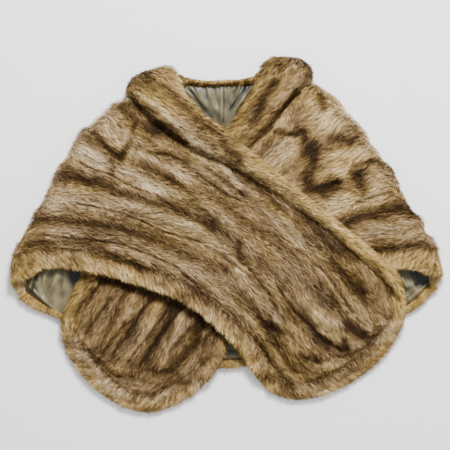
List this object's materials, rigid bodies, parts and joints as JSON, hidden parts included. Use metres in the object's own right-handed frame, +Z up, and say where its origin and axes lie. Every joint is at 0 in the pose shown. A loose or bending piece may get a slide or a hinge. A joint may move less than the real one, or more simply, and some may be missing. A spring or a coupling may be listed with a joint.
{
  "type": "fur stole",
  "caption": "Short fur shawl with a rolled collar, laid flat with its fronts crossed over a satin-lined back; rounded front tips and lighter edge strips.",
  "frame": {"origin": "centre of the bounding box, on the surface that the stole lies on", "axes": "+X across the stole to the right as seen from above, +Y towards the neck, +Z up from the surface"},
  "size_m": [0.6763, 0.562, 0.0514],
  "materials": {
    "mink_fur": "dense brown mink fur with darker stripes",
    "border_fur": "dense golden brown fur",
    "satin_lining": "pale grey-green satin"
  },
  "bodies": {
    "root": {"back_body": "mink_fur", "back_collar": "mink_fur", "back_hem_border": "border_fur", "back_lining": "satin_lining", "left_collar": "mink_fur", "left_front": "mink_fur", "left_hem_border": "border_fur", "right_collar": "mink_fur", "right_front": "mink_fur", "right_hem_border": "border_fur"}
  },
  "joints": []
}
